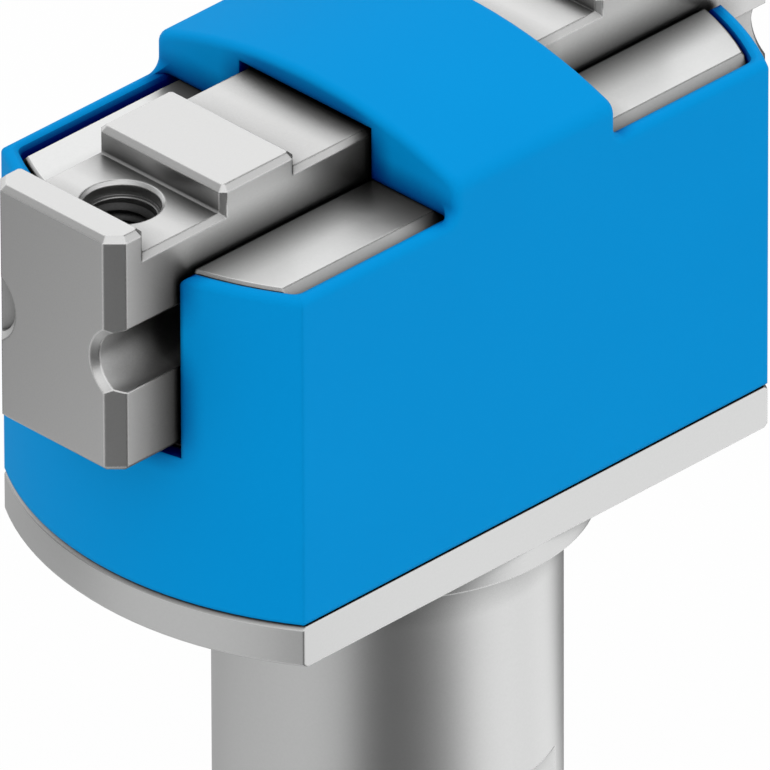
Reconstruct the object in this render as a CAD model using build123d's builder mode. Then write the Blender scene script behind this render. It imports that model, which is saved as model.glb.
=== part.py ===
"""Single-acting parallel gripper on a round clamping stem, jaws open.

Millimetres. The origin is the centre of the stem's lower end, +Z up, and the
jaws slide along X. Air under the piston lifts the drive wedge, whose inclined
T-shaped rails draw both jaws inwards, and a spring opens them again.
"""
import os
from math import sqrt

from build123d import *

os.makedirs("parts", exist_ok=True)

# Clamping stem and the collar under the flange
stem_radius = 7.5
stem_length = 23.0
stem_end_chamfer = 0.5
collar_height = 1.15
collar_chamfer = 0.15
key_flat_depth = 0.8
key_flat_drop = 12.4
key_flat_length = 7.0

# Outline shared by the flange and the cover: a disc with two milled sides
disc_radius = 16.5
disc_half_width = 9.0
flange_thickness = 2.0
flange_chamfer = 0.16

# Housing block above the flange
block_height = 15.95
block_gap = 0.1
block_side_chamfer = 0.6
block_end_chamfer = 0.12

# Cover shell with its middle band
cover_wall = 0.7
cover_seat_gap = 0.12
cover_inner_corner = 0.5
rim_height = 16.0
outer_rounding = 0.37
inner_rounding = 0.3
band_half_length = 4.75
band_height = 3.45
band_dome_radius = 24.5
band_shoulder_radius = 0.7
band_foot_radius = 0.55
slot_mouth_radius = 0.5
lug_width = 4.0
lug_height = 1.0
lug_depth = 0.28
lug_offset = 9.0
lug_rise = 5.0
lug_clearance = 0.1

# Jaws, measured in the open position
jaw_half_width = 3.75
jaw_outer_x = 19.65
jaw_inner_x = 4.2
jaw_rise = 7.6
jaw_height = 11.4
lip_length = 1.85
pocket_length = 4.5
pocket_depth = 1.25
land_length = 4.35
step_depth = 0.8
jaw_corner_chamfer = 0.7
jaw_edge_chamfer = 0.25
pocket_fillet = 0.12
jaw_travel = 3.0

# Sliding gaps between the jaws and the pieces they run in
slot_side_gap = 0.2
slot_floor_gap = 0.4
cover_side_gap = 0.2
cover_floor_gap = 0.5
cover_roof_gap = 0.24

# Tapped hole in each jaw for a gripper finger
finger_hole_radius = 1.5
finger_hole_depth = 6.0
finger_recess_radius = 1.68
finger_recess_depth = 0.65
finger_recess_chamfer = 0.15

# Guide rods beside the jaws and the set screws that lock them
guide_rod_radius = 1.5
guide_rod_offset = 4.07
guide_rod_rise = 13.0
guide_rod_inset = 0.18
guide_rod_chamfer = 0.3
groove_clearance = 0.06
groove_mouth_chamfer = 0.3
groove_end_clearance = 0.4
stopped_mouth_depth = 0.55
set_screw_radius = 1.0
set_screw_inset = 0.23
socket_width = 0.9
socket_depth = 1.0

# Drive wedge with its inclined rails
wedge_height = 4.5
wedge_rise = 7.9
wedge_half_base = 5.2
web_half_width = 1.2
rail_half_width = 1.95
rail_thickness = 1.2
rail_clearance = 0.06
rail_end_clearance = 0.25
boss_radius = 1.9

# Screw that holds the wedge on the piston rod
wedge_screw_radius = 1.0
wedge_screw_length = 7.0
wedge_screw_head_radius = 1.8
wedge_screw_head_height = 1.9
screw_hole_clearance = 0.1

# Piston and rod
bore_radius = 5.0
piston_clearance = 0.06
piston_height = 6.0
rod_radius = 2.0
fork_clearance = 0.1
spigot_radius = 1.25
spigot_length = 5.8
nut_width = 5.0
nut_height = 2.0
nut_recess_clearance = 0.15
seal_radial_clearance = 0.02
seal_height = 1.7
seal_depth = 1.2
seal_rise = 1.0
seal_lip = 0.35
ring_height = 1.5
ring_depth = 0.7
ring_rise = 4.0
ring_slit = 0.4
groove_side_gap = 0.03

# Rod bush between the cylinder and the jaw slot
bush_radius = 3.5
bush_height = 6.0
bush_running_clearance = 0.03
bush_chamfer = 0.25
rod_hole_radius = 2.3

# Return spring and the washer under it
spring_wire_radius = 0.4
spring_mean_radius = 3.95
spring_turns = 7.0
washer_radius = 4.8
washer_thickness = 0.5

# End cap, its seal and its retaining ring
cap_radius = 5.4
cap_height = 5.0
cap_nose_radius = 4.1
cap_seal_section = 0.45
cap_seal_rise = 2.8
cap_seal_side_gap = 0.25
circlip_rise = 0.8
circlip_thickness = 0.8
circlip_groove_radius = 5.85
circlip_inner_radius = 4.85
circlip_gap = 4.0
circlip_lug_radius = 0.75
circlip_eye_radius = 0.35
port_radius = 2.5
port_depth = 5.0
passage_radius = 1.0
buffer_radius = 4.7
buffer_inner_radius = 3.3
buffer_thickness = 0.8
buffer_stand = 0.3

# Gap left between pieces that are pressed, screwed or clipped together
seat_clearance = 0.01

# Heights above the stem's lower end
flange_top = stem_length + flange_thickness
block_top = flange_top + block_height
cover_bottom = flange_top + cover_seat_gap
rim_top = flange_top + rim_height
band_crest = rim_top + band_height
jaw_bottom = flange_top + jaw_rise
jaw_top = jaw_bottom + jaw_height
pocket_floor = jaw_top - pocket_depth
step_top = jaw_top - step_depth
slot_floor = jaw_bottom - slot_floor_gap
rod_axis_z = flange_top + guide_rod_rise
wedge_bottom = flange_top + wedge_rise
wedge_top = wedge_bottom + wedge_height
cap_bottom = circlip_rise + circlip_thickness
cap_top = cap_bottom + cap_height
piston_bottom = cap_top + buffer_stand
piston_top = piston_bottom + piston_height
spring_bottom = piston_top + washer_thickness
cylinder_top = flange_top
spring_length = cylinder_top - spring_bottom

# Radii, half widths and stations along X
cover_inner_radius = disc_radius - cover_wall
cover_inner_half = disc_half_width - cover_wall
block_radius = cover_inner_radius - block_gap
block_half_width = cover_inner_half - block_gap
slot_half = jaw_half_width + slot_side_gap
guide_rod_reach = guide_rod_offset + guide_rod_radius
guide_rod_half = sqrt(block_radius**2 - guide_rod_reach**2) - guide_rod_inset
set_screw_length = block_half_width - set_screw_inset - guide_rod_reach
cover_slot_half = jaw_half_width + cover_side_gap
pocket_outer_x = jaw_outer_x - lip_length
pocket_inner_x = pocket_outer_x - pocket_length
land_inner_x = pocket_inner_x - land_length
finger_hole_x = (pocket_outer_x + pocket_inner_x) / 2
fork_half = rod_radius + fork_clearance
fork_x = rod_radius + jaw_travel + fork_clearance
piston_radius = bore_radius - piston_clearance
seal_radius = bore_radius - seal_radial_clearance
rail_width = rail_thickness * sqrt(2)
rail_gap = rail_clearance * sqrt(2)


def disc_outline(radius, half_width):
    """Round disc with two milled sides, drawn into the active sketch."""
    Circle(radius)
    Rectangle(2 * radius, 2 * half_width, mode=Mode.INTERSECT)


def dome_height(crest, radius, y):
    """Height at y of a dome that runs along X."""
    return crest - radius + sqrt(radius * radius - y * y)


def rail_x(z):
    """Distance from the centre to the outside of the wedge's rail at height z, jaws open."""
    return wedge_half_base + z - wedge_bottom


def near(value, target):
    """True where two lengths agree."""
    return abs(value - target) < 0.01


def middle(edge):
    """Point halfway along an edge."""
    return edge.position_at(0.5)


def is_cover_edge(edge):
    """True on the cover's outer edges: along the rims, up the band's feet and over its dome."""
    point = middle(edge)
    on_side = near(abs(point.Y), disc_half_width)
    on_round = near(sqrt(point.X**2 + point.Y**2), disc_radius)
    on_rim = near(point.Z, rim_top) and (on_side or on_round)
    beside_band = on_side and point.Z > rim_top and abs(point.X) > band_half_length - 0.01
    over_dome = near(abs(point.X), band_half_length) and point.Z > foot_z + band_foot_radius
    return on_rim or beside_band or over_dome


def finish(piece, name):
    """Label a finished piece and write it."""
    piece.label = name
    export_step(piece, f"parts/{name}.step")


# Housing: stem, collar, flange and slotted block milled from one bar
with BuildPart() as housing:
    with BuildSketch():
        Circle(stem_radius)
    extrude(amount=stem_length)
    chamfer(housing.edges().group_by(Axis.Z)[0], stem_end_chamfer)

    with BuildSketch(Plane.XY.offset(stem_length - collar_height)):
        Circle(disc_half_width)
    extrude(amount=collar_height)
    collar_edges = housing.edges().filter_by(GeomType.CIRCLE)
    chamfer(collar_edges.filter_by(lambda e: near(e.radius, disc_half_width)).sort_by(Axis.Z)[0],
            collar_chamfer)

    with BuildSketch(Plane.XY.offset(stem_length)):
        disc_outline(disc_radius, disc_half_width)
    extrude(amount=flange_thickness)
    round_edges = housing.edges().filter_by(GeomType.CIRCLE)
    chamfer(round_edges.filter_by(lambda e: near(e.radius, disc_radius)), flange_chamfer)

    with BuildSketch(Plane.XY.offset(flange_top)):
        disc_outline(block_radius, block_half_width)
    extrude(amount=block_height)
    chamfer(housing.edges().group_by(Axis.Z)[-1].filter_by(GeomType.LINE), block_side_chamfer)
    chamfer(housing.edges().group_by(Axis.Z)[-1].filter_by(GeomType.CIRCLE), block_end_chamfer)

    # Slot for the jaws, with a round seat in each wall for a guide rod
    with BuildSketch(Plane.XY.offset(slot_floor)):
        Rectangle(2 * disc_radius, 2 * slot_half)
    extrude(amount=block_height, mode=Mode.SUBTRACT)
    with BuildSketch(Plane.YZ):
        with Locations((guide_rod_offset, rod_axis_z), (-guide_rod_offset, rod_axis_z)):
            Circle(guide_rod_radius + seat_clearance)
    extrude(amount=disc_radius, both=True, mode=Mode.SUBTRACT)

    # Stepped bore: end cap, retaining ring, cylinder, bush and rod hole
    for bore_step, low, high in (
        (cap_radius + seat_clearance, 0, cap_top),
        (circlip_groove_radius, circlip_rise, cap_bottom),
        (bore_radius, 0, cylinder_top),
        (bush_radius + seat_clearance, cylinder_top, cylinder_top + bush_height),
        (rod_hole_radius, cylinder_top, slot_floor),
    ):
        with BuildSketch(Plane.XY.offset(low)):
            Circle(bore_step)
        extrude(amount=high - low, mode=Mode.SUBTRACT)

    # Flat on the stem for the clamping screw
    with BuildSketch(Plane.XY.offset(stem_length - key_flat_drop - key_flat_length)):
        with Locations((0, -stem_radius)):
            Rectangle(2 * stem_radius, 2 * key_flat_depth)
    extrude(amount=key_flat_length, mode=Mode.SUBTRACT)

    # Pockets for the cover's snap lugs and cross holes for the set screws
    for side in (1, -1):
        with BuildSketch(Plane.XZ.offset(side * block_half_width)):
            with Locations((-lug_offset, flange_top + lug_rise), (lug_offset, flange_top + lug_rise)):
                Rectangle(lug_width + 2 * lug_clearance, lug_height + 2 * lug_clearance)
        extrude(amount=-side * (lug_depth + lug_clearance), mode=Mode.SUBTRACT)
    with BuildSketch(Plane.XZ):
        with Locations((0, rod_axis_z)):
            Circle(set_screw_radius + seat_clearance)
    extrude(amount=disc_half_width, both=True, mode=Mode.SUBTRACT)
finish(housing.part, "housing")


# Cover: a moulded cup with an arched band over the jaws, whose feet run out on the rims
foot_x = band_half_length + band_foot_radius
foot_z = rim_top + band_foot_radius
with BuildPart() as cover:
    with BuildSketch(Plane.XZ):
        with BuildLine():
            Polyline((-foot_x, rim_top), (-foot_x, cover_bottom), (foot_x, cover_bottom), (foot_x, rim_top))
            RadiusArc((foot_x, rim_top), (band_half_length, foot_z), band_foot_radius)
            Polyline((band_half_length, foot_z), (band_half_length, band_crest + 1),
                     (-band_half_length, band_crest + 1), (-band_half_length, foot_z))
            RadiusArc((-band_half_length, foot_z), (-foot_x, rim_top), band_foot_radius)
        make_face()
    extrude(amount=disc_half_width, both=True)

    # Seen along X: straight sides, rounded shoulders and a domed top
    shoulder_z = dome_height(band_crest, band_dome_radius, disc_half_width)
    with BuildSketch(Plane.YZ) as band_dome:
        with BuildLine():
            Polyline((-disc_half_width, shoulder_z), (-disc_half_width, cover_bottom),
                     (disc_half_width, cover_bottom), (disc_half_width, shoulder_z))
            ThreePointArc((disc_half_width, shoulder_z), (0, band_crest),
                          (-disc_half_width, shoulder_z))
        make_face()
        fillet(band_dome.vertices().group_by(Axis.Y)[-1], band_shoulder_radius)
    extrude(amount=foot_x, both=True, mode=Mode.INTERSECT)
    with BuildSketch(Plane.XY.offset(cover_bottom)):
        disc_outline(disc_radius, disc_half_width)
    extrude(amount=rim_top - cover_bottom)
    fillet(cover.edges().filter_by(is_cover_edge), outer_rounding)

    # Hollow, with rims rounded inwards in two steps outside the band
    with BuildSketch(Plane.XY.offset(cover_bottom)) as hollow:
        disc_outline(cover_inner_radius, cover_inner_half)
        fillet(hollow.vertices(), cover_inner_corner)
    extrude(amount=rim_top - cover_bottom, mode=Mode.SUBTRACT)
    small_step = inner_rounding * (1 - sqrt(0.5))
    for grow, drop, rise, slope in ((0, inner_rounding, inner_rounding - small_step, -22.5),
                                    (small_step, small_step, small_step, -67.5)):
        with BuildSketch(Plane.XY.offset(rim_top - drop)) as rounded_rim:
            disc_outline(cover_inner_radius + grow, cover_inner_half + grow)
            fillet(rounded_rim.vertices(), cover_inner_corner + grow)
            Rectangle(2 * band_half_length, 2 * disc_half_width, mode=Mode.SUBTRACT)
        extrude(amount=rise, taper=slope, mode=Mode.SUBTRACT)

    # Room under the arch, and beside it with rounded corners between band and rims
    inner_crest = band_crest - cover_wall
    inner_dome_radius = band_dome_radius - cover_wall
    inner_shoulder_z = dome_height(inner_crest, inner_dome_radius, cover_inner_half)
    with BuildSketch(Plane.YZ):
        with BuildLine():
            Polyline((-cover_inner_half, inner_shoulder_z), (-cover_inner_half, rim_top),
                     (cover_inner_half, rim_top), (cover_inner_half, inner_shoulder_z))
            ThreePointArc((cover_inner_half, inner_shoulder_z), (0, inner_crest),
                          (-cover_inner_half, inner_shoulder_z))
        make_face()
    extrude(amount=band_half_length - cover_wall, both=True, mode=Mode.SUBTRACT)
    foot_half = cover_inner_half + inner_rounding
    with BuildSketch(Plane.XY.offset(rim_top)) as foot_room:
        Rectangle(2 * foot_x, 2 * foot_half)
        Rectangle(2 * band_half_length, 2 * foot_half, mode=Mode.SUBTRACT)
        fillet(foot_room.vertices().filter_by(lambda v: near(abs(v.X), band_half_length)),
               cover_inner_corner)
    extrude(amount=band_height, mode=Mode.SUBTRACT)

    # Openings for the jaws through both ends, with rounded mouths, and through the flanks
    mouth_y = cover_slot_half + slot_mouth_radius
    mouth_z = rim_top - slot_mouth_radius
    cover_slot_bottom = jaw_bottom - cover_floor_gap
    with BuildSketch(Plane.YZ):
        with BuildLine():
            Line((-mouth_y, rim_top), (mouth_y, rim_top))
            RadiusArc((mouth_y, rim_top), (cover_slot_half, mouth_z), -slot_mouth_radius)
            Polyline((cover_slot_half, mouth_z), (cover_slot_half, cover_slot_bottom),
                     (-cover_slot_half, cover_slot_bottom), (-cover_slot_half, mouth_z))
            RadiusArc((-cover_slot_half, mouth_z), (-mouth_y, rim_top), -slot_mouth_radius)
        make_face()
    extrude(amount=disc_radius, both=True, mode=Mode.SUBTRACT)
    with BuildSketch(Plane.XY.offset(rim_top)):
        Rectangle(2 * band_half_length, 2 * cover_slot_half)
    extrude(amount=step_top + cover_roof_gap - rim_top, mode=Mode.SUBTRACT)

    # Snap lugs inside the milled sides
    for side in (1, -1):
        with BuildSketch(Plane.XZ.offset(side * cover_inner_half)):
            with Locations((-lug_offset, flange_top + lug_rise), (lug_offset, flange_top + lug_rise)):
                Rectangle(lug_width, lug_height)
        extrude(amount=-side * (lug_depth + block_gap))
finish(cover.part, "cover")

# Jaw: a stepped bar with a finger pocket, guide grooves and an inclined T-slot
with BuildPart() as left_jaw:
    with BuildSketch(Plane.XZ):
        with BuildLine():
            Polyline((-jaw_outer_x, jaw_bottom), (-jaw_outer_x, jaw_top),
                     (-pocket_outer_x, jaw_top), (-pocket_outer_x, pocket_floor),
                     (-pocket_inner_x, pocket_floor), (-pocket_inner_x, jaw_top),
                     (-land_inner_x, jaw_top), (-land_inner_x, step_top),
                     (-jaw_inner_x, step_top), (-jaw_inner_x, jaw_bottom), close=True)
        make_face()
    extrude(amount=jaw_half_width, both=True)

    # Standing corners, pocket corners, then the edges of each level
    upright = left_jaw.edges().filter_by(Axis.Z)
    chamfer(upright.filter_by(lambda e: near(middle(e).X, -jaw_outer_x)), jaw_corner_chamfer)
    step_stations = (-pocket_outer_x, -pocket_inner_x, -land_inner_x)
    upright = left_jaw.edges().filter_by(Axis.Z)
    chamfer(upright.filter_by(lambda e: any(near(middle(e).X, x) for x in step_stations)),
            jaw_edge_chamfer)
    across = left_jaw.edges().filter_by(Axis.Y)
    fillet(across.filter_by(lambda e: near(middle(e).Z, pocket_floor)), pocket_fillet)
    for level in (jaw_top, jaw_bottom):
        level_edges = left_jaw.edges().filter_by(lambda e: near(middle(e).Z, level))
        chamfer(level_edges, jaw_edge_chamfer)
    along = left_jaw.edges().filter_by(Axis.X)
    chamfer(along.filter_by(lambda e: near(middle(e).Z, pocket_floor) or near(middle(e).Z, step_top)),
            jaw_edge_chamfer)

    # Tapped hole for the finger, with a recess for a centring sleeve
    with Locations((-finger_hole_x, 0, pocket_floor)):
        CounterBoreHole(finger_hole_radius, finger_recess_radius, finger_recess_depth,
                        finger_hole_depth)
    recess_edges = left_jaw.edges().filter_by(GeomType.CIRCLE)
    chamfer(recess_edges.filter_by(lambda e: near(e.radius, finger_recess_radius)).sort_by(Axis.Z)[-1],
            finger_recess_chamfer)

    # Guide grooves, countersunk at the outer face: one runs through, the other is stopped behind it
    groove_radius = guide_rod_radius + groove_clearance
    groove_stop_x = guide_rod_half + jaw_travel + groove_end_clearance
    for side, start, length in ((-1, jaw_outer_x, jaw_outer_x), (1, jaw_outer_x, stopped_mouth_depth),
                                (1, groove_stop_x, groove_stop_x)):
        with BuildSketch(Plane.YZ.offset(-start)):
            with Locations((side * guide_rod_offset, rod_axis_z)):
                Circle(groove_radius)
        extrude(amount=length, mode=Mode.SUBTRACT)
    for side in (1, -1):
        with BuildSketch(Plane.YZ.offset(-jaw_outer_x)):
            with Locations((side * guide_rod_offset, rod_axis_z)):
                Circle(groove_radius + groove_mouth_chamfer)
        extrude(amount=groove_mouth_chamfer, taper=45, mode=Mode.SUBTRACT)

    # Fork around the rod, and the inclined slot for the wedge's web and rail
    slot_top = wedge_top + jaw_travel + rail_end_clearance
    with BuildSketch(Plane.XY.offset(jaw_bottom)):
        with Locations((-fork_x / 2, 0)):
            Rectangle(fork_x, 2 * fork_half)
    extrude(amount=slot_top - jaw_bottom, mode=Mode.SUBTRACT)
    outer_low = -rail_x(jaw_bottom) - rail_gap
    outer_high = -rail_x(slot_top) - rail_gap
    with BuildSketch(Plane.XZ):
        with BuildLine():
            Polyline((outer_low, jaw_bottom), (outer_high, slot_top), (0, slot_top),
                     (0, jaw_bottom), close=True)
        make_face()
    extrude(amount=web_half_width + rail_clearance, both=True, mode=Mode.SUBTRACT)
    slot_width = rail_width + 2 * rail_gap
    with BuildSketch(Plane.XZ):
        with BuildLine():
            Polyline((outer_low, jaw_bottom), (outer_high, slot_top),
                     (outer_high + slot_width, slot_top), (outer_low + slot_width, jaw_bottom),
                     close=True)
        make_face()
    extrude(amount=rail_half_width + rail_clearance, both=True, mode=Mode.SUBTRACT)
finish(left_jaw.part, "left_jaw")

with BuildPart() as right_jaw:
    mirror(left_jaw.part, about=Plane.YZ)
finish(right_jaw.part, "right_jaw")

# Guide rods: ground pins that lie in the slot's walls and carry the jaws
for side, name in ((-1, "front_guide_rod"), (1, "rear_guide_rod")):
    with BuildPart() as guide_rod:
        with BuildSketch(Plane.YZ):
            with Locations((side * guide_rod_offset, rod_axis_z)):
                Circle(guide_rod_radius)
        extrude(amount=guide_rod_half, both=True)
        chamfer(guide_rod.edges().filter_by(GeomType.CIRCLE), guide_rod_chamfer)
    finish(guide_rod.part, name)

# Set screws: one from each milled side against its guide rod
for side, name in ((-1, "front_set_screw"), (1, "rear_set_screw")):
    with BuildPart() as set_screw:
        with BuildSketch(Plane.XZ.offset(-side * guide_rod_reach)):
            with Locations((0, rod_axis_z)):
                Circle(set_screw_radius)
        extrude(amount=-side * set_screw_length)
        with BuildSketch(Plane.XZ.offset(-side * (guide_rod_reach + set_screw_length))):
            with Locations((0, rod_axis_z)):
                RegularPolygon(socket_width / 2, 6, major_radius=False)
        extrude(amount=side * socket_depth, mode=Mode.SUBTRACT)
    finish(set_screw.part, name)

# Drive wedge: a web with an inclined T-rail on each side and a boss for the rod
with BuildPart() as drive_wedge:
    half_base = rail_x(wedge_bottom)
    half_top = rail_x(wedge_top)
    with BuildSketch(Plane.XZ):
        with BuildLine():
            Polyline((-half_base, wedge_bottom), (-half_top, wedge_top), (half_top, wedge_top),
                     (half_base, wedge_bottom), close=True)
        make_face()
    extrude(amount=web_half_width, both=True)
    for side in (1, -1):
        with BuildSketch(Plane.XZ):
            with BuildLine():
                Polyline((side * half_base, wedge_bottom), (side * half_top, wedge_top),
                         (side * (half_top - rail_width), wedge_top),
                         (side * (half_base - rail_width), wedge_bottom), close=True)
            make_face()
        extrude(amount=rail_half_width, both=True)
    with BuildSketch(Plane.XY.offset(wedge_bottom)):
        Circle(boss_radius)
    extrude(amount=wedge_height)
    with Locations((0, 0, wedge_top)):
        CounterBoreHole(wedge_screw_radius + screw_hole_clearance,
                        wedge_screw_head_radius + screw_hole_clearance, wedge_screw_head_height)
finish(drive_wedge.part, "drive_wedge")

# Wedge screw: socket head screw from the wedge into the rod
screw_seat = wedge_top - wedge_screw_head_height
with BuildPart() as wedge_screw:
    with BuildSketch(Plane.XY.offset(screw_seat)):
        Circle(wedge_screw_head_radius)
    extrude(amount=wedge_screw_head_height)
    with BuildSketch(Plane.XY.offset(wedge_top)):
        RegularPolygon(socket_width, 6, major_radius=False)
    extrude(amount=-socket_depth, mode=Mode.SUBTRACT)
    with BuildSketch(Plane.XY.offset(screw_seat - wedge_screw_length)):
        Circle(wedge_screw_radius)
    extrude(amount=wedge_screw_length)
finish(wedge_screw.part, "wedge_screw")

# Piston rod: ground rod, tapped on top and with a threaded spigot below
with BuildPart() as piston_rod:
    with BuildSketch(Plane.XY.offset(spring_bottom)):
        Circle(rod_radius)
    extrude(amount=wedge_bottom - spring_bottom)
    with BuildSketch(Plane.XY.offset(spring_bottom - spigot_length)):
        Circle(spigot_radius)
    extrude(amount=spigot_length)
    with BuildSketch(Plane.XY.offset(screw_seat - wedge_screw_length - screw_hole_clearance)):
        Circle(wedge_screw_radius + seat_clearance)
    extrude(amount=wedge_bottom - screw_seat + wedge_screw_length + screw_hole_clearance,
            mode=Mode.SUBTRACT)
finish(piston_rod.part, "piston_rod")

# Piston: turned disc with a seal groove, a guide-ring groove and a recess for the nut
nut_recess_radius = nut_width / sqrt(3) + nut_recess_clearance
with BuildPart() as piston:
    with BuildSketch(Plane.XY.offset(piston_bottom)):
        Circle(piston_radius)
        Circle(spigot_radius + seat_clearance, mode=Mode.SUBTRACT)
    extrude(amount=piston_height)
    with BuildSketch(Plane.XY.offset(piston_bottom)):
        Circle(nut_recess_radius)
    extrude(amount=nut_height + nut_recess_clearance, mode=Mode.SUBTRACT)
    for rise, height, depth in ((seal_rise, seal_height, seal_depth), (ring_rise, ring_height, ring_depth)):
        with BuildSketch(Plane.XY.offset(piston_bottom + rise)):
            Circle(bore_radius)
            Circle(piston_radius - depth, mode=Mode.SUBTRACT)
        extrude(amount=height, mode=Mode.SUBTRACT)
finish(piston.part, "piston")

# Piston nut: hexagon nut on the rod's spigot
with BuildPart() as piston_nut:
    with BuildSketch(Plane.XY.offset(piston_bottom + nut_recess_clearance)):
        RegularPolygon(nut_width / 2, 6, major_radius=False)
        Circle(spigot_radius + seat_clearance, mode=Mode.SUBTRACT)
    extrude(amount=nut_height)
finish(piston_nut.part, "piston_nut")

# Piston seal: rubber ring whose open lip faces the air below
with BuildPart() as piston_seal:
    seal_bottom = piston_bottom + seal_rise + groove_side_gap
    seal_top = piston_bottom + seal_rise + seal_height - groove_side_gap
    seal_inner = piston_radius - seal_depth
    notch_middle = (seal_inner + seal_radius) / 2
    with BuildSketch(Plane.XZ):
        with BuildLine():
            Polyline((seal_inner, seal_bottom), (seal_inner, seal_top), (seal_radius, seal_top),
                     (seal_radius, seal_bottom), (seal_radius - seal_lip, seal_bottom),
                     (notch_middle, seal_bottom + seal_height / 2),
                     (seal_inner + seal_lip, seal_bottom), close=True)
        make_face()
    revolve(axis=Axis.Z)
finish(piston_seal.part, "piston_seal")

# Piston guide ring: plastic wear ring with a slit
with BuildPart() as guide_ring:
    with BuildSketch(Plane.XY.offset(piston_bottom + ring_rise + groove_side_gap)):
        Circle(seal_radius)
        Circle(piston_radius - ring_depth, mode=Mode.SUBTRACT)
        with Locations((bore_radius / 2, 0)):
            Rectangle(bore_radius, ring_slit, mode=Mode.SUBTRACT)
    extrude(amount=ring_height - 2 * groove_side_gap)
finish(guide_ring.part, "piston_guide_ring")

# Spring washer plate: hard seat between the piston and the spring
with BuildPart() as spring_seat:
    with BuildSketch(Plane.XY.offset(piston_top)):
        Circle(washer_radius)
        Circle(spigot_radius + seat_clearance, mode=Mode.SUBTRACT)
    extrude(amount=washer_thickness)
finish(spring_seat.part, "spring_seat")

# Return spring: round wire wound between the seat and the cylinder's top
coil_rise = spring_length - 2 * spring_wire_radius
with BuildPart() as return_spring:
    with BuildLine(Plane.XY.offset(spring_bottom + spring_wire_radius)) as coil:
        Helix(coil_rise / spring_turns, coil_rise, spring_mean_radius)
    with BuildSketch(Plane(origin=coil.line @ 0, z_dir=coil.line % 0)):
        RegularPolygon(spring_wire_radius, 6)
    sweep(is_frenet=True)
finish(return_spring.part, "return_spring")

# Rod bush: plain bearing pressed into the housing above the cylinder
with BuildPart() as rod_bush:
    with BuildSketch(Plane.XY.offset(cylinder_top)):
        Circle(bush_radius)
        Circle(rod_radius + bush_running_clearance, mode=Mode.SUBTRACT)
    extrude(amount=bush_height)
    round_edges = rod_bush.edges().filter_by(GeomType.CIRCLE)
    outer_edges = round_edges.filter_by(lambda e: near(e.radius, bush_radius))
    chamfer(outer_edges.sort_by(Axis.Z)[-1], bush_chamfer)
finish(rod_bush.part, "rod_bush")

# End cap: plug with the air port, a seal groove and a seat for the buffer ring
with BuildPart() as end_cap:
    with BuildSketch(Plane.XY.offset(cap_bottom)):
        Circle(cap_radius)
    extrude(amount=cap_height)
    with BuildSketch():
        Circle(cap_nose_radius)
    extrude(amount=cap_bottom)
    with BuildSketch():
        Circle(port_radius)
    extrude(amount=port_depth, mode=Mode.SUBTRACT)
    with BuildSketch():
        Circle(passage_radius)
    extrude(amount=cap_top, mode=Mode.SUBTRACT)
    seal_half = cap_seal_section + cap_seal_side_gap
    with BuildSketch(Plane.XY.offset(cap_bottom + cap_seal_rise - seal_half)):
        Circle(cap_radius + 1)
        Circle(cap_radius - 2 * cap_seal_section, mode=Mode.SUBTRACT)
    extrude(amount=2 * seal_half, mode=Mode.SUBTRACT)
    with BuildSketch(Plane.XY.offset(piston_bottom - buffer_thickness)):
        Circle(buffer_radius + seat_clearance)
        Circle(buffer_inner_radius - seat_clearance, mode=Mode.SUBTRACT)
    extrude(amount=buffer_thickness, mode=Mode.SUBTRACT)
finish(end_cap.part, "end_cap")

# End-cap seal: O-ring
with BuildPart() as end_cap_seal:
    with BuildSketch(Plane.XZ):
        with Locations((cap_radius - cap_seal_section, cap_bottom + cap_seal_rise)):
            RegularPolygon(cap_seal_section, 8)
    revolve(axis=Axis.Z)
finish(end_cap_seal.part, "end_cap_seal")

# Buffer ring: soft stop for the piston
with BuildPart() as buffer_ring:
    with BuildSketch(Plane.XY.offset(piston_bottom - buffer_thickness)):
        Circle(buffer_radius)
        Circle(buffer_inner_radius, mode=Mode.SUBTRACT)
    extrude(amount=buffer_thickness)
finish(buffer_ring.part, "buffer_ring")

# Retaining ring: sprung steel ring with two eyes for the pliers
with BuildPart() as retaining_ring:
    lug_x = circlip_inner_radius - circlip_lug_radius / 4
    lug_y = circlip_gap / 2
    with BuildSketch(Plane.XY.offset(circlip_rise)):
        Circle(circlip_groove_radius - seat_clearance)
        Circle(circlip_inner_radius, mode=Mode.SUBTRACT)
        with Locations((circlip_inner_radius, 0)):
            Rectangle(circlip_inner_radius, circlip_gap, mode=Mode.SUBTRACT)
        with Locations((lug_x, lug_y), (lug_x, -lug_y)):
            Circle(circlip_lug_radius)
            Circle(circlip_eye_radius, mode=Mode.SUBTRACT)
    extrude(amount=circlip_thickness)
finish(retaining_ring.part, "retaining_ring")
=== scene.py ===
"""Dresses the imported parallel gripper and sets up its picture. Lengths are in metres."""
from math import cos, pi, radians, sin

import bmesh
import bpy
from mathutils import Matrix, Vector


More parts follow.
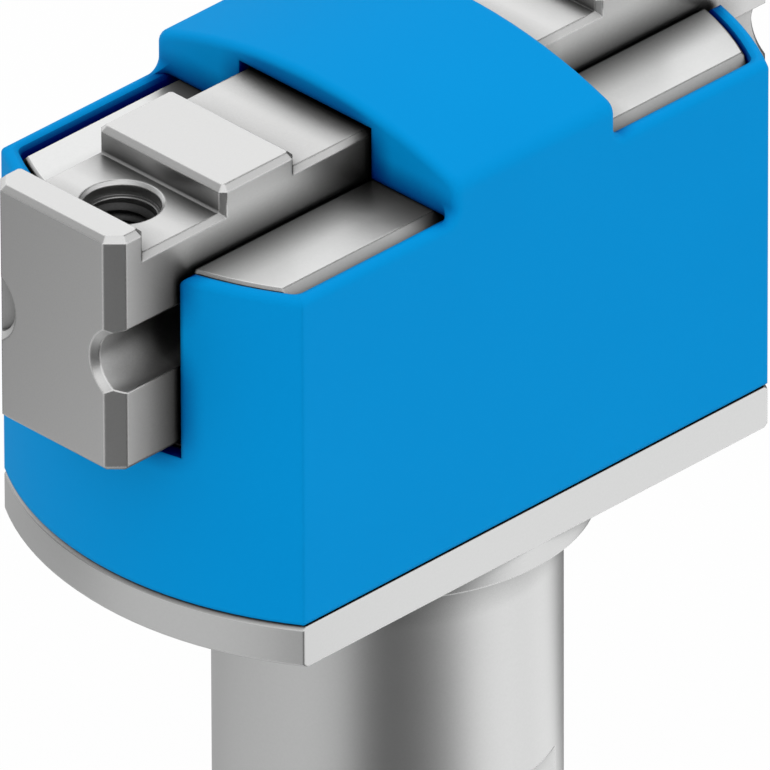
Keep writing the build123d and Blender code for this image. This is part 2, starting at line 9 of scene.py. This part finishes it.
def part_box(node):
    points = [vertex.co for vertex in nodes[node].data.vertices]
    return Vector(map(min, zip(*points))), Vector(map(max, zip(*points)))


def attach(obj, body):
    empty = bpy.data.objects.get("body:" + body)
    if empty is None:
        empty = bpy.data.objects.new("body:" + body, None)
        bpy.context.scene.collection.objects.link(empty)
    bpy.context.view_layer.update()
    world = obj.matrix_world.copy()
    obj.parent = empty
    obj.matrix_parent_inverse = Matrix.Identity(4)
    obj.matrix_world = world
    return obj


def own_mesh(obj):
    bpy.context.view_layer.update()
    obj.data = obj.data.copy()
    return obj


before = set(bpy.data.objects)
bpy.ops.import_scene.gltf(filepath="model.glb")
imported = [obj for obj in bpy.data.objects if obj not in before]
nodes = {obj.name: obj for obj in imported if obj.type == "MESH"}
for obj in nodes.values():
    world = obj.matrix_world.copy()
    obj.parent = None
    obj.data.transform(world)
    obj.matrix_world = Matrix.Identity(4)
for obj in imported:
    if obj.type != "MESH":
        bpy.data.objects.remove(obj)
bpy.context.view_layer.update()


# Housing: stem, collar, flange and slotted block are turned and milled from one
# aluminium bar. The finish is a satin metal with faint tool rings around the axis.

class Amount:
    """A node's socket. Python's operators on it add the Math nodes of the expression."""

    def __init__(self, finish, socket):
        self.finish = finish
        self.socket = socket

    def math(self, operation, *terms):
        """One Math node on this finish, with these numbers or sockets."""
        return self.finish.node("ShaderNodeMath", {"operation": operation}, dict(enumerate(terms)))

    def beside(self, output):
        """Another output of the node that this socket is on."""
        return Amount(self.finish, self.socket.node.outputs[output])

    def __add__(self, other):
        return self.math("ADD", self, other)

    def __sub__(self, other):
        return self.math("SUBTRACT", self, other)

    def __rsub__(self, other):
        return self.math("SUBTRACT", other, self)

    def __mul__(self, other):
        return self.math("MULTIPLY", self, other)

    def __pow__(self, other):
        return self.math("POWER", self, other)

    __radd__ = __add__
    __rmul__ = __mul__


class Finish:
    """A procedural material on Object coordinates, or a world, built node by node."""

    def __init__(self, name, owner=None):
        self.material = owner or bpy.data.materials.new(name)
        self.material.use_nodes = True
        self.tree = self.material.node_tree
        self.tree.nodes.clear()
        place = self.node("ShaderNodeTexCoord", output="Generated" if owner else "Object")
        self.place_mm = self.node("ShaderNodeVectorMath", {"operation": "SCALE"},
                                  {"Vector": place, "Scale": 1000})

    def node(self, kind, settings=None, values=None, output=0):
        """Adds a node: its settings first, then the values or links of its sockets."""
        node = self.tree.nodes.new(kind)
        for name, value in (settings or {}).items():
            if name == "stops":
                self.set_stops(node.color_ramp, value)
            else:
                setattr(node, name, value)
        for key, value in (values or {}).items():
            if isinstance(value, Amount):
                self.tree.links.new(value.socket, node.inputs[key])
            else:
                node.inputs[key].default_value = value
        return Amount(self, node.outputs[output]) if node.outputs else None

    def ramp(self, factor, stops):
        """A grey that runs through stops, each a position and a level, as the factor rises."""
        return self.node("ShaderNodeValToRGB", {"stops": stops}, {"Fac": factor})

    def set_stops(self, ramp, stops):
        """Gives a ramp its stops, each a position and a grey level."""
        while len(ramp.elements) > 1:
            ramp.elements.remove(ramp.elements[-1])
        for number, (position, level) in enumerate(stops):
            element = ramp.elements[0] if number == 0 else ramp.elements.new(position)
            element.position = position
            element.color = (level, level, level, 1)

    def noise(self, per_mm, stretch=(1, 1, 1), detail=3.0):
        """Noise from 0 to 1, with its patches drawn out along axes with a small stretch."""
        vector = self.node("ShaderNodeMapping", values={"Vector": self.place_mm, "Scale": stretch})
        return self.node("ShaderNodeTexNoise", values={"Vector": vector, "Scale": per_mm,
                                                       "Detail": detail}, output="Fac")

    def axes(self):
        """The place in mm along X, Y and Z."""
        x = self.node("ShaderNodeSeparateXYZ", values={"Vector": self.place_mm})
        return x, x.beside("Y"), x.beside("Z")

    def radius(self):
        """The distance from the Z axis in mm."""
        x, y, _ = self.axes()
        return (x * x + y * y) ** 0.5

    def turn(self):
        """The turn round the Z axis: 0 at -X, 0.25 at -Y, 0.5 at +X, 0.75 at +Y and 1 at -X."""
        x, y, _ = self.axes()
        return y.math("ARCTAN2", y, x) * (1 / (2 * pi)) + 0.5

    def rings(self, per_mm):
        """Noise that depends on the radius and the height alone, as a tool leaves it."""
        _, _, height = self.axes()
        vector = self.node("ShaderNodeCombineXYZ", values={"X": self.radius(), "Y": height})
        return self.node("ShaderNodeTexNoise", {"noise_dimensions": "2D"},
                         {"Vector": vector, "Scale": per_mm, "Detail": 2.0}, output="Fac")

    def mix(self, factor, first, second):
        """A colour between two others, each three numbers or a socket."""
        colours = [colour if isinstance(colour, Amount) else (*colour, 1) for colour in (first, second)]
        return self.node("ShaderNodeMix", {"data_type": "RGBA"},
                         {0: factor, 6: colours[0], 7: colours[1]}, output=2)

    def openness(self, reach_mm):
        """Ambient occlusion: 1 on open faces, falling towards 0 in corners and gaps nearer than the reach.
        The finishes use it to paint shade into their colour.
        """
        return self.node("ShaderNodeAmbientOcclusion", {"samples": 8},
                         {"Distance": reach_mm / 1000}, output="AO")

    def rounded(self, radius_mm):
        """The surface's normal, turned smoothly over the edges within the radius."""
        return self.node("ShaderNodeBevel", {"samples": 8}, {"Radius": radius_mm / 1000})

    def on_edge(self, rounded, contrast=14.0):
        """1 on edges that a rounded normal softens and 0 on plain faces."""
        flat = self.node("ShaderNodeNewGeometry", output="Normal")
        alike = self.node("ShaderNodeVectorMath", {"operation": "DOT_PRODUCT"}, {0: rounded, 1: flat},
                          output="Value")
        return self.node("ShaderNodeMath", {"operation": "MULTIPLY", "use_clamp": True},
                         {0: 1 - alike, 1: contrast})

    def surface(self, bump, bump_mm, under=None, **sockets):
        """Closes the material with a Principled shader; a socket's name has _ for each space.

        The bump's relief lies over the normal given as under, or over the mesh's own."""
        values = {name.replace("_", " "): value for name, value in sockets.items()}
        relief = {"Height": bump, "Strength": 1.0, "Distance": bump_mm / 1000}
        if under is not None:
            relief["Normal"] = under
        values["Normal"] = self.node("ShaderNodeBump", values=relief)
        shader = self.node("ShaderNodeBsdfPrincipled", values=values)
        self.node("ShaderNodeOutputMaterial", values={"Surface": shader})


def dress(name, finish):
    """Gives a CAD node its finish."""
    if not nodes[name].material_slots:
        nodes[name].data.materials.append(finish.material)
    for slot in nodes[name].material_slots:
        slot.material = finish.material


milled = Finish("milled_aluminium")
grain = milled.noise(9.0)
tool_rings = milled.rings(5.0)
unshaded_metal = milled.mix(grain, (0.90, 0.905, 0.90), (0.97, 0.975, 0.97))
# Painted shade: the base colour darkens to near black towards corners and gaps, following ambient
# occlusion.
open_share_for_painted_shade = milled.openness(2.4)
broken_edge = milled.rounded(0.13)
milled.surface(
    Base_Color=milled.mix(open_share_for_painted_shade ** 1.9, (0.03, 0.03, 0.03), unshaded_metal),
    Metallic=1.0,
    Roughness=(0.29 + 0.05 * grain + 0.04 * tool_rings) * (1 - 0.7 * milled.on_edge(broken_edge)),
    bump=0.5 * grain + 0.5 * tool_rings,
    bump_mm=0.002,
    under=broken_edge,
)
dress("housing", milled)


# Rod bush: sintered bronze sleeve pressed into the housing above the cylinder,
# with the open pores that hold its oil.
bronze = Finish("sintered_bronze")
pores = bronze.noise(14.0, detail=4.0)
bronze.surface(
    Base_Color=bronze.mix(pores, (0.42, 0.25, 0.10), (0.62, 0.40, 0.18)),
    Metallic=1.0,
    Roughness=0.45 + 0.15 * pores,
    bump=pores,
    bump_mm=0.01,
)
dress("rod_bush", bronze)


# Guide rods: hardened steel pins, ground round and lapped. Each lies half in a wall of
# the housing's slot and half in the grooves of both jaws, and a set screw locks it.
lapped = Finish("ground_rod_steel")
fine_lines = lapped.noise(6.0, stretch=(8, 1, 1))
lapped.surface(
    Base_Color=lapped.mix(fine_lines, (0.52, 0.52, 0.53), (0.62, 0.62, 0.63)),
    Metallic=1.0,
    Roughness=0.22 + 0.08 * fine_lines,
    bump=fine_lines,
    bump_mm=0.001,
)
for rod in ("front_guide_rod", "rear_guide_rod"):
    dress(rod, lapped)


# Screws and retaining ring: steel with a black oxide skin that is worn a little
# grey, left slightly rough by the bath.
blackened = Finish("black_oxide_steel")
skin = blackened.noise(5.0)
blackened.surface(
    Base_Color=blackened.mix(skin, (0.025, 0.025, 0.028), (0.075, 0.075, 0.08)),
    Metallic=0.6,
    Roughness=0.42 + 0.15 * skin,
    bump=skin,
    bump_mm=0.004,
)
for fastener in ("front_set_screw", "rear_set_screw", "wedge_screw", "retaining_ring"):
    dress(fastener, blackened)


# Piston group: turned aluminium piston with ring-shaped tool marks, a zinc-plated
# nut and washer below the spring, and the ground rod with its wedge.
turned = Finish("turned_aluminium")
turning = turned.rings(9.0)
turned.surface(
    Base_Color=turned.mix(turning, (0.64, 0.645, 0.66), (0.76, 0.765, 0.78)),
    Metallic=1.0,
    Roughness=0.28 + 0.12 * turning,
    bump=turning,
    bump_mm=0.004,
)
dress("piston", turned)

plated = Finish("zinc_plating")
spangle = plated.noise(2.5)
plated.surface(
    Base_Color=plated.mix(spangle, (0.55, 0.56, 0.58), (0.68, 0.69, 0.71)),
    Metallic=1.0,
    Roughness=0.25 + 0.15 * spangle,
    bump=spangle,
    bump_mm=0.002,
)
for fitting in ("piston_nut", "spring_seat"):
    dress(fitting, plated)

ground = Finish("ground_steel")
wheel_lines = ground.noise(5.0, stretch=(1, 1, 9))
ground.surface(
    Base_Color=ground.mix(wheel_lines, (0.48, 0.48, 0.49), (0.60, 0.60, 0.61)),
    Metallic=1.0,
    Roughness=0.26 + 0.10 * wheel_lines,
    bump=wheel_lines,
    bump_mm=0.002,
)
for steel in ("piston_rod", "drive_wedge"):
    dress(steel, ground)


# Return spring: drawn wire with a thin film of oil. Its head stays under the shoulder in the stem
# and its foot rises with the piston, so the 3 mm stroke squashes it in the gripper. Here it only gets a
# mesh of its own.
wire = Finish("spring_wire")
oil = wire.noise(3.0)
wire.surface(
    Base_Color=wire.mix(oil, (0.22, 0.22, 0.23), (0.36, 0.36, 0.38)),
    Metallic=1.0,
    Roughness=0.24 + 0.18 * oil,
    bump=oil,
    bump_mm=0.003,
)
dress("return_spring", wire)
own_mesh(nodes["return_spring"])


# Seals and buffer: rings of moulded black rubber, matte with a fine mould texture. Two
# lie in grooves of the piston and the end cap, and the piston comes to rest on the third.
rubber = Finish("moulded_rubber")
mould_texture = rubber.noise(8.0, detail=4.0)
rubber.surface(
    Base_Color=rubber.mix(mould_texture, (0.012, 0.012, 0.012), (0.035, 0.035, 0.035)),
    Metallic=0.0,
    Roughness=0.62 + 0.2 * mould_texture,
    bump=mould_texture,
    bump_mm=0.01,
)
for ring in ("piston_seal", "end_cap_seal", "buffer_ring"):
    dress(ring, rubber)


# Guide ring: strip of cream plastic, cut to length and bent into its groove in the
# piston. It keeps the piston off the cylinder's wall.
strip = Finish("guide_ring_plastic")
weave = strip.noise(6.0, stretch=(1, 1, 5))
strip.surface(
    Base_Color=strip.mix(weave, (0.60, 0.53, 0.38), (0.74, 0.67, 0.52)),
    Metallic=0.0,
    Roughness=0.5 + 0.15 * weave,
    bump=weave,
    bump_mm=0.003,
)
dress("piston_guide_ring", strip)


# End cap: turned aluminium plug, natural anodised, with the air port's thread cut
# into it. The thread is a ridge wound down the port's wall.
anodised = Finish("anodised_plug")
cap_turning = anodised.rings(7.0)
anodised.surface(
    Base_Color=anodised.mix(cap_turning, (0.40, 0.41, 0.44), (0.50, 0.51, 0.54)),
    Metallic=1.0,
    Roughness=0.38 + 0.12 * cap_turning,
    bump=cap_turning,
    bump_mm=0.003,
)
dress("end_cap", anodised)


def thread(name, body, finish, centre, wall_radius, crest_radius, pitch, bottom, top):
    """Winds an inner thread's ridge up a hole's wall and lets it ride on the hole's body."""
    steps_per_turn = 40
    margin = 0.6 * pitch
    foot_half = 0.44 * pitch
    crest_half = 0.06 * pitch
    turns = (top - bottom - 2 * margin) / pitch
    mesh = bmesh.new()
    corners = [mesh.verts.new((centre[0] + radius, centre[1], bottom + margin + rise))
               for radius, rise in ((wall_radius, -foot_half), (crest_radius, -crest_half),
                                    (crest_radius, crest_half), (wall_radius, foot_half))]
    flank = [mesh.edges.new(pair) for pair in zip(corners, corners[1:])]
    steps = round(turns * steps_per_turn)
    bmesh.ops.spin(mesh, geom=corners + flank, cent=(centre[0], centre[1], 0), axis=(0, 0, 1),
                   dvec=(0, 0, pitch / steps_per_turn), angle=2 * pi * steps / steps_per_turn,
                   steps=steps, use_merge=False)
    data = bpy.data.meshes.new(name)
    mesh.to_mesh(data)
    mesh.free()
    piece = bpy.data.objects.new(name, data)
    bpy.context.scene.collection.objects.link(piece)
    data.materials.append(finish.material)
    for polygon in data.polygons:
        polygon.use_smooth = True
    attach(piece, body)
    return piece


port_thread = thread("air_port_thread", "housing_unit", anodised, centre=(0, 0), wall_radius=0.0025,
                     crest_radius=0.00215, pitch=0.0008, bottom=0.0, top=0.005)


# Cover: cup and arched band moulded in one piece from blue plastic and snapped over
# the block. The skin is satin with a barely visible mould grain.
blue = Finish("blue_cover_plastic")
skin_grain = blue.noise(11.0, detail=4.0)
slow_tone = blue.noise(0.12, detail=1.0)
unshaded_blue = blue.mix(0.5 * skin_grain + 0.5 * slow_tone, (0.0, 0.30, 0.73), (0.0, 0.33, 0.78))
# Painted shade: the blue turns dark navy in gaps and corners, following ambient occlusion.
open_share_for_painted_gap_shade = blue.openness(1.5)
blue_with_painted_shade = blue.mix(open_share_for_painted_gap_shade ** 2.6, (0.0, 0.0, 0.17), unshaded_blue)

# The metal beside the cover shows no blue in the photo, so it mirrors the cover as grey.
# This is a painted reflection: glossy rays see the cover as dark grey, which also darkens the metal beside
# it like shade.
in_metal = blue.node("ShaderNodeLightPath", output="Is Glossy Ray")
blue.surface(
    Base_Color=blue.mix(in_metal, blue_with_painted_shade, (0.12, 0.12, 0.12)),
    Metallic=0.0,
    Roughness=0.52 + 0.08 * skin_grain,
    bump=skin_grain,
    bump_mm=0.002,
    Specular_IOR_Level=0.03,
    under=blue.rounded(0.3),
)
dress("cover", blue)


# Jaws: hardened steel bars, ground all over, which leaves a dull even grey with short
# scratches along the jaw's length. Each has a tapped hole for the finger's screw.
jaw_steel = Finish("ground_jaw_steel")
scratches = jaw_steel.noise(4.0, stretch=(1, 5, 3), detail=4.0)
speckle = jaw_steel.noise(14.0, detail=2.0)
dull_grey = jaw_steel.mix(0.5 * scratches + 0.5 * speckle, (0.80, 0.80, 0.795), (0.92, 0.92, 0.915))
# Painted shade: the grey goes nearly black in corners and beside walls, following ambient occlusion.
open_share_for_painted_wall_shade = jaw_steel.openness(2.0)
stoned_edge = jaw_steel.rounded(0.13)
jaw_steel.surface(
    Base_Color=jaw_steel.mix(open_share_for_painted_wall_shade ** 2.4, (0.01, 0.01, 0.01), dull_grey),
    Metallic=1.0,
    Roughness=(0.28 + 0.06 * scratches + 0.06 * speckle) * (1 - 0.7 * jaw_steel.on_edge(stoned_edge)),
    bump=0.5 * scratches + 0.5 * speckle,
    bump_mm=0.003,
    under=stoned_edge,
)
for jaw in ("left_jaw", "right_jaw"):
    dress(jaw, jaw_steel)

hole_x = 0.01555
lip_to_thread = 0.0019
thread_length = 0.00535
thread_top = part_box("left_jaw")[1].z - lip_to_thread
# Painted shade: the finger hole's thread gets a near-black steel colour that stands for the shade deep in
# the hole.
thread_steel_painted_dark = Finish("finger_thread_painted_shade")
cut_grain = thread_steel_painted_dark.noise(8.0)
thread_steel_painted_dark.surface(
    Base_Color=thread_steel_painted_dark.mix(cut_grain, (0.05, 0.05, 0.05), (0.10, 0.10, 0.10)),
    Metallic=1.0,
    Roughness=0.40 + 0.1 * cut_grain,
    bump=cut_grain,
    bump_mm=0.003,
)
for jaw, hole_side in (("left", -1), ("right", 1)):
    jaw_thread = thread(f"{jaw}_finger_thread", f"{jaw}_jaw_unit", thread_steel_painted_dark,
                        centre=(hole_side * hole_x, 0), wall_radius=0.0015, crest_radius=0.00123,
                        pitch=0.0005, bottom=thread_top - thread_length, top=thread_top)


# Stage: white floor under the stem's end. The camera sees it white but for a trace of
# the shadow. Metal sees greys that change round the stem, and other greys further out.
floor_reach = 1.5
gap_under_stem = 0.0002
floor_mesh = bmesh.new()
bmesh.ops.create_grid(floor_mesh, x_segments=1, y_segments=1, size=floor_reach)
bmesh.ops.translate(floor_mesh, verts=floor_mesh.verts, vec=(0, 0, -gap_under_stem))
floor_data = bpy.data.meshes.new("floor")
floor_mesh.to_mesh(floor_data)
floor_mesh.free()
floor = bpy.data.objects.new("floor", floor_data)
bpy.context.scene.collection.objects.link(floor)

paper = Finish("white_paper")
seen_by_camera = paper.node("ShaderNodeLightPath", output="Is Camera Ray")
seen_by_gloss = seen_by_camera.beside("Is Glossy Ray")
seen_through = seen_by_camera.beside("Is Transmission Ray")
paper_turn = paper.turn()
all_round = paper.ramp(paper_turn, (
    (0.00, 0.50), (0.05, 0.44), (0.09, 0.12), (0.12, 0.03), (0.17, 0.12), (0.22, 0.28), (0.28, 0.72),
    (0.33, 0.80), (0.38, 0.74), (0.455, 0.86), (0.50, 0.22), (0.58, 0.06), (0.66, 0.50), (0.76, 0.50),
    (0.83, 0.20), (0.88, 0.14), (0.92, 0.50), (1.00, 0.50),
))
by_the_stem = paper.ramp(paper_turn, (
    (0.00, 0.50), (0.05, 0.44), (0.09, 0.16), (0.12, 0.09), (0.17, 0.12), (0.22, 0.26), (0.28, 0.72),
    (0.33, 0.80), (0.38, 0.74), (0.455, 0.86), (0.50, 0.22), (0.58, 0.06), (0.66, 0.50), (0.72, 0.40),
    (0.78, 0.38), (0.84, 0.44), (0.92, 0.47), (1.00, 0.50),
))
near_reach_mm = 48
far_start_mm = 62
near_stem = paper.node("ShaderNodeMapRange", values={
    "Value": paper.radius(), "From Min": near_reach_mm, "From Max": far_start_mm, "To Min": 1, "To Max": 0})
mirrored_paper = paper.node("ShaderNodeEmission", values={
    "Color": paper.mix(near_stem, all_round, by_the_stem), "Strength": 1.0})
diffuse_paper = paper.node("ShaderNodeBsdfDiffuse", values={"Color": (0.8, 0.8, 0.8, 1)})
white_paper = paper.node("ShaderNodeEmission", values={"Color": (1, 1, 1, 1), "Strength": 1.0})
whiteness = 0.97
lit = paper.node("ShaderNodeMixShader",
                 values={0: seen_by_camera * whiteness + seen_through, 1: diffuse_paper, 2: white_paper})
shown = paper.node("ShaderNodeMixShader", values={0: seen_by_gloss, 1: lit, 2: mirrored_paper})
paper.node("ShaderNodeOutputMaterial", values={"Surface": shown})
floor_data.materials.append(paper.material)


# Light: an even tent that is brighter overhead and white to the camera. Metal sees grey
# panels round it, and the dark gap between two of them draws the thin lines on edges.
world = bpy.data.worlds.new("studio")
bpy.context.scene.world = world
tent = Finish("studio", owner=world)
overhead = Vector((0.08, -0.16, 0.95)).normalized()

# The place of a world is a direction, which place_mm makes 1000 long.
towards_light = tent.node("ShaderNodeVectorMath", {"operation": "DOT_PRODUCT"},
                          {0: tent.place_mm, 1: overhead}, output="Value") * 0.001
fabric = tent.node("ShaderNodeMapRange", values={
    "Value": towards_light, "From Min": -0.2, "To Min": 0.56, "To Max": 1.16})
panels = tent.ramp(tent.turn(), (
    (0.00, 0.58), (0.08, 0.85), (0.28, 0.85), (0.36, 0.67), (0.43, 0.66), (0.445, 0.02), (0.56, 0.02),
    (0.575, 0.89), (0.74, 0.89), (0.83, 0.36), (0.90, 0.34), (1.00, 0.52),
))
straight = tent.node("ShaderNodeLightPath", output="Is Camera Ray")
light = tent.node("ShaderNodeMix", {"data_type": "FLOAT"},
                  {0: straight.beside("Is Glossy Ray"), 2: fabric, 3: panels})
strength = tent.node("ShaderNodeMix", {"data_type": "FLOAT"}, {0: straight, 2: light, 3: 1.0})
background = tent.node("ShaderNodeBackground", values={"Color": (1, 1, 1, 1), "Strength": strength})
tent.node("ShaderNodeOutputWorld", values={"Surface": background})


# Camera: a very long lens from the front left and above, close to a parallel view. It
# is placed by its direction, its distance and the point on the stem's axis it looks at.
view_azimuth = radians(-44.7032)
view_elevation = radians(31.2780)
view_roll = radians(-0.1936)
view_distance = 1.4500
aim_right = -0.0000650
aim_up = 0.0035171
flange_and_seat_gap = 0.00212
flange_underside = Vector((0, 0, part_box("cover")[0].z - flange_and_seat_gap))

forward = Vector((-sin(view_azimuth) * cos(view_elevation), cos(view_azimuth) * cos(view_elevation),
                  -sin(view_elevation)))
right = Vector((cos(view_azimuth), sin(view_azimuth), 0))
up = right.cross(forward)
turned_right = right * cos(view_roll) + up * sin(view_roll)
turned_up = up * cos(view_roll) - right * sin(view_roll)
camera_data = bpy.data.cameras.new("camera")
camera_data.type = "PERSP"
camera_data.lens = 1600
camera_data.sensor_width = 36
camera_data.clip_start = 0.1
camera_data.clip_end = 10
camera = bpy.data.objects.new("camera", camera_data)
bpy.context.scene.collection.objects.link(camera)
axes = Matrix((turned_right, turned_up, -forward)).transposed()
camera.matrix_world = axes.to_4x4()
camera.location = flange_underside - forward * view_distance + right * aim_right + up * aim_up
bpy.context.scene.camera = camera
bpy.context.scene.view_settings.view_transform = "Standard"
